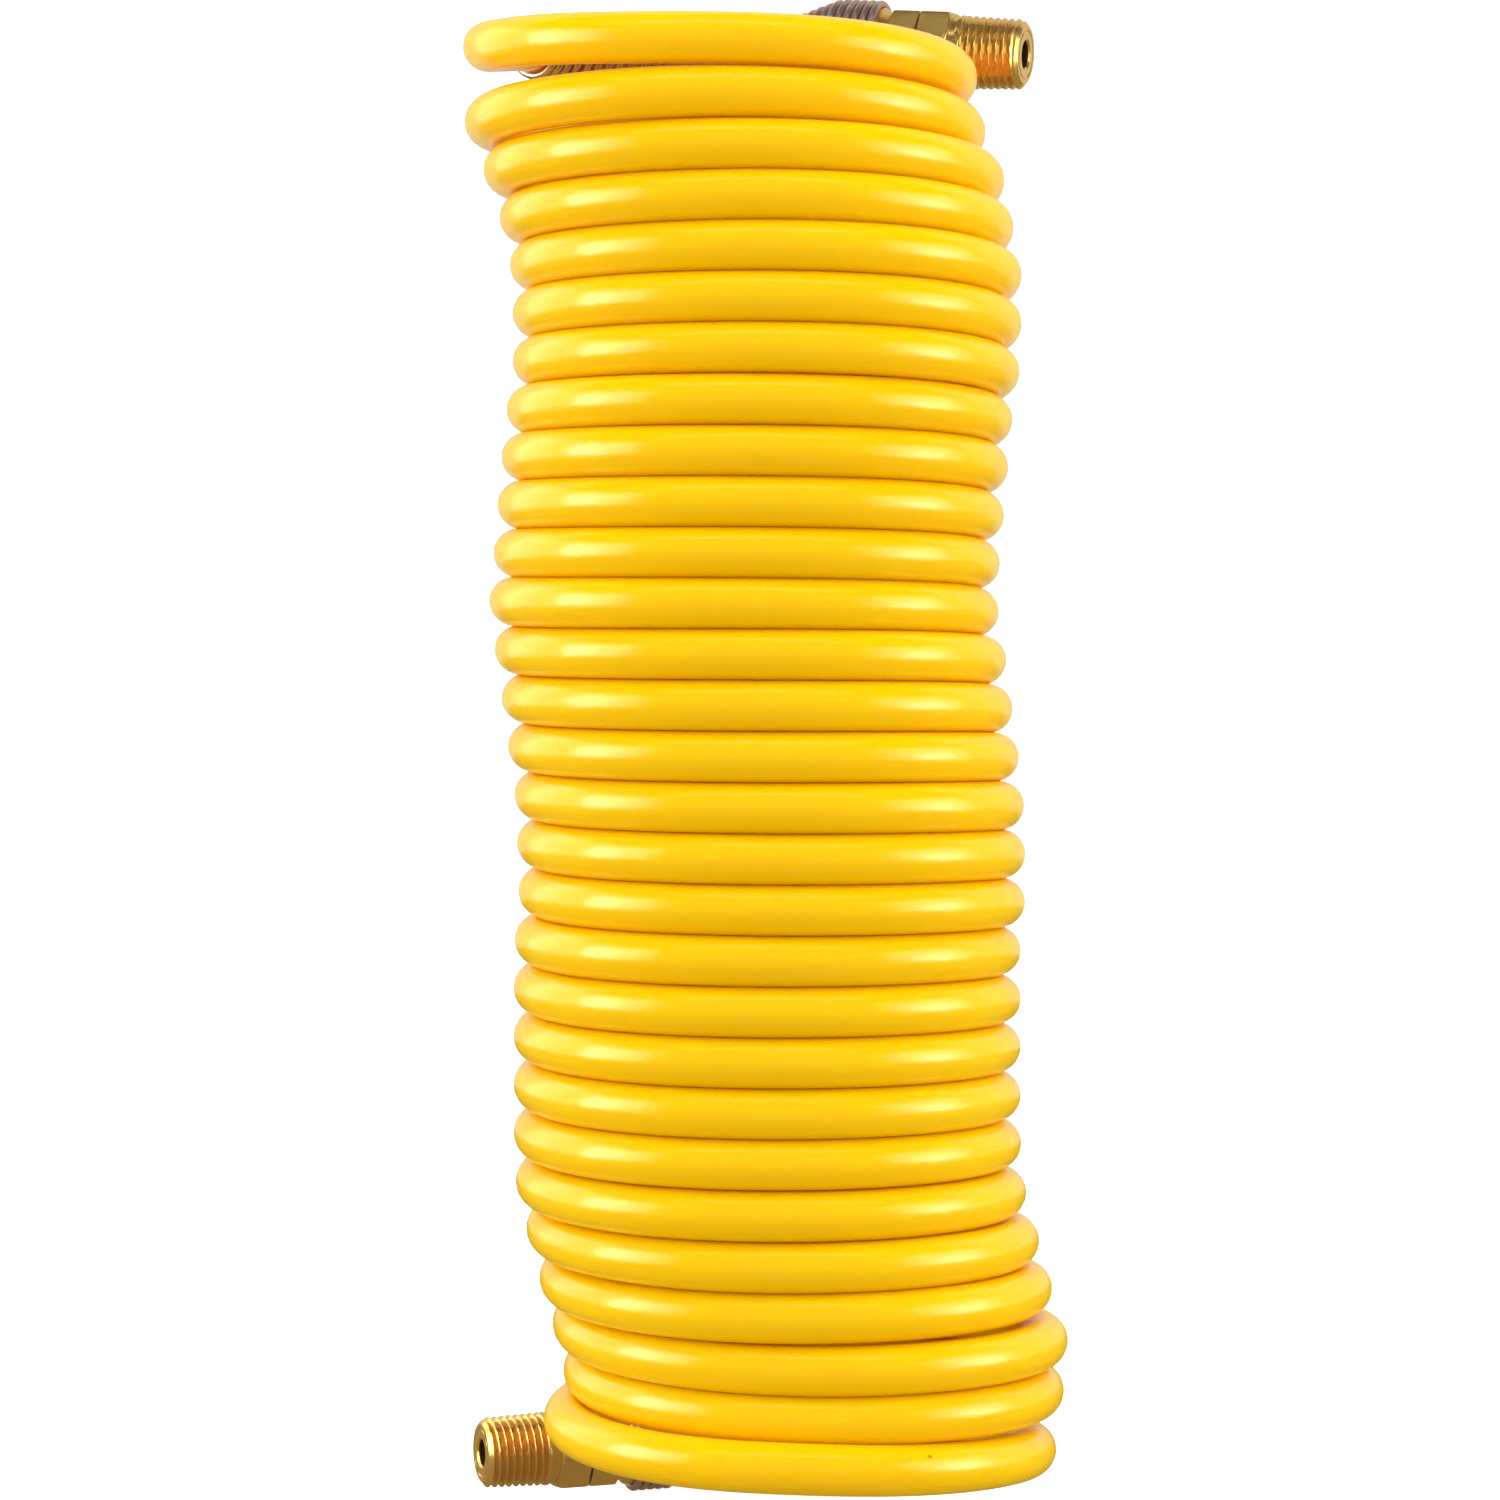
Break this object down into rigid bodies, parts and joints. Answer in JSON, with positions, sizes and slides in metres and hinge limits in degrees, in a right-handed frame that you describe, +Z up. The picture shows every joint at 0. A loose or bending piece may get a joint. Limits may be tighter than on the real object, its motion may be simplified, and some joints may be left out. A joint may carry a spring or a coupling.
{
  "type": "recoil air hose",
  "caption": "Self-coiling nylon air hose with a brass swivel male pipe fitting and a wire spring guard at each end.",
  "frame": {"origin": "centre of the bounding box's bottom face, under the upright coil", "axes": "+Z up along the coil's axis, from the bottom fitting to the top fitting; +X towards the side the top fitting points to; +Y away from the front"},
  "size_m": [0.1119, 0.0953, 0.2876],
  "materials": {
    "nylon_hose": "satin",
    "brass_fitting": "polished",
    "guard_wire": "satin",
    "spring_steel": "satin",
    "seal_rubber": "matte",
    "washer_plastic": "matte"
  },
  "bodies": {
    "coil_and_bottom_end": {"hose_coil": "nylon_hose", "hose_lead_bottom": "nylon_hose", "bottom_swivel_stem": "brass_fitting", "bottom_o_ring": "seal_rubber", "bottom_thrust_washer": "washer_plastic", "bottom_compression_nut": "brass_fitting", "bottom_ferrule": "brass_fitting", "bottom_spring_guard": "guard_wire"},
    "bottom_connector": {"bottom_male_connector": "brass_fitting", "bottom_retaining_ring": "spring_steel"},
    "top_end": {"hose_lead_top": "nylon_hose", "top_swivel_stem": "brass_fitting", "top_o_ring": "seal_rubber", "top_thrust_washer": "washer_plastic", "top_compression_nut": "brass_fitting", "top_ferrule": "brass_fitting", "top_spring_guard": "guard_wire"},
    "top_connector": {"top_male_connector": "brass_fitting", "top_retaining_ring": "spring_steel"}
  },
  "joints": [
    {"name": "recoil_stretch", "type": "slide", "parent": "coil_and_bottom_end", "child": "top_end", "axis": [0, 0, 1], "range_m": [0, 5.7], "stiffness_N_per_m": 3, "springref_m": -0.3, "deforming": ["hose_coil"]},
    {"name": "top_swivel", "type": "hinge", "parent": "top_end", "child": "top_connector", "pos_m": [0.04926, 0.02331, 0.2755], "axis": [0.9364, -0.3408, -0.0841], "continuous": true},
    {"name": "bottom_swivel", "type": "hinge", "parent": "coil_and_bottom_end", "child": "bottom_connector", "pos_m": [-0.05449, 0.02211, 0.0093], "axis": [-0.9397, -0.342, 0], "continuous": true}
  ]
}
